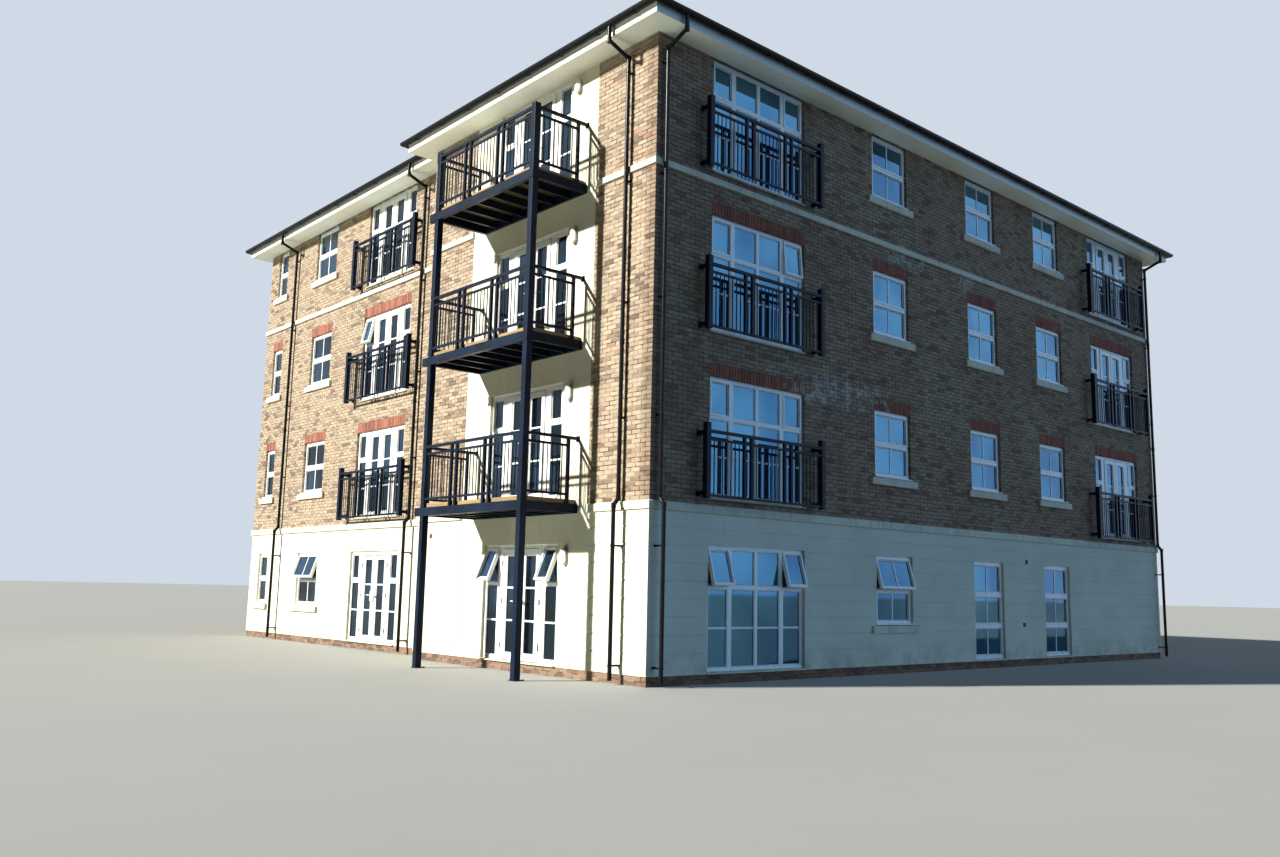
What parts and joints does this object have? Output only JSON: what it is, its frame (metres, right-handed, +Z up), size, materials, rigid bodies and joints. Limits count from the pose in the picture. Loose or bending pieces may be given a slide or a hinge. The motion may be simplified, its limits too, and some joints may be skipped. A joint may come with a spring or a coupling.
{
  "type": "apartment block",
  "caption": "Brick apartment block over a rendered ground floor, with steel balconies, Juliet railings, wide eaves and double doors that swing out.",
  "frame": {"origin": "middle of the block's bounding box, at ground level", "axes": "+X along the front wall away from the near corner, +Y from the front towards the rear, +Z up"},
  "size_m": [19.47, 18.02, 14.9409],
  "materials": {
    "plinth_brick": "dark red-brown facing brick",
    "concrete": "plain concrete",
    "render": "cream painted render",
    "brick": "multi-coloured brown facing brick with pale mortar",
    "plaster": "white plasterboard",
    "cast_stone": "cream cast stone",
    "eaves_board": "white boards",
    "gutter_black": "black moulded rainwater goods",
    "roof_tile": "dark grey flat tiles",
    "window_white": "white moulded window frames",
    "glass": "clear double glazing",
    "railing_black": "blue-black paint on steel",
    "deck_timber": "weathered brown timber boards",
    "hinge_metal": "satin metal hinges",
    "lamp": "opal oval lights"
  },
  "bodies": {
    "root": {"plinth": "plinth_brick", "ground_slab": "concrete", "upper_floors": "concrete", "ceiling": "plaster", "front_wall_ground": "render", "front_wall_first": "brick", "front_wall_second": "brick", "front_wall_third": "brick", "side_wall_ground_near": "render", "side_wall_ground_over": "render", "side_wall_ground_far": "render", "side_brick_upper": "brick", "bay_panel_upper": "render", "wing_wall_ground_near": "render", "wing_wall_ground_over": "render", "wing_wall_ground_far": "render", "wing_wall_upper": "brick", "rear_wall_ground": "render", "rear_wall_upper": "brick", "end_wall_ground": "render", "end_wall_upper": "brick", "stone_courses": "cast_stone", "eaves": "eaves_board", "gutters": "gutter_black", "roof": "roof_tile", "ridge_tiles": "roof_tile", "front_window_frames": "window_white", "side_window_frames": "window_white", "rear_window_frames": "window_white", "front_glass": "glass", "side_glass": "glass", "rear_glass": "glass", "window_sills": "cast_stone", "juliet_railings": "railing_black", "balcony_posts": "railing_black", "balcony_decks": "railing_black", "deck_boards": "deck_timber", "balcony_railings": "railing_black", "downpipes": "gutter_black", "wall_lights": "lamp", "bay_door_frame": "window_white", "wing_door_frame": "window_white", "door_hinges": "hinge_metal"},
    "bay_near": {"bay_near_leaf": "window_white", "bay_near_glass": "glass"},
    "bay_far": {"bay_far_leaf": "window_white", "bay_far_glass": "glass"},
    "wing_near": {"wing_near_leaf": "window_white", "wing_near_glass": "glass"},
    "wing_far": {"wing_far_leaf": "window_white", "wing_far_glass": "glass"}
  },
  "joints": [
    {"name": "bay_near_hinge", "type": "hinge", "parent": "root", "child": "bay_near", "pos_m": [-8.544, -5.5805, 1.2], "axis": [0, 0, 1], "range_deg": [0, 90]},
    {"name": "bay_far_hinge", "type": "hinge", "parent": "root", "child": "bay_far", "pos_m": [-8.544, -4.4555, 1.2], "axis": [0, 0, -1], "range_deg": [0, 90]},
    {"name": "wing_near_hinge", "type": "hinge", "parent": "root", "child": "wing_near", "pos_m": [-7.979, 0.9005, 1.2], "axis": [0, 0, 1], "range_deg": [0, 90]},
    {"name": "wing_far_hinge", "type": "hinge", "parent": "root", "child": "wing_far", "pos_m": [-7.979, 2.0255, 1.2], "axis": [0, 0, -1], "range_deg": [0, 90]}
  ]
}
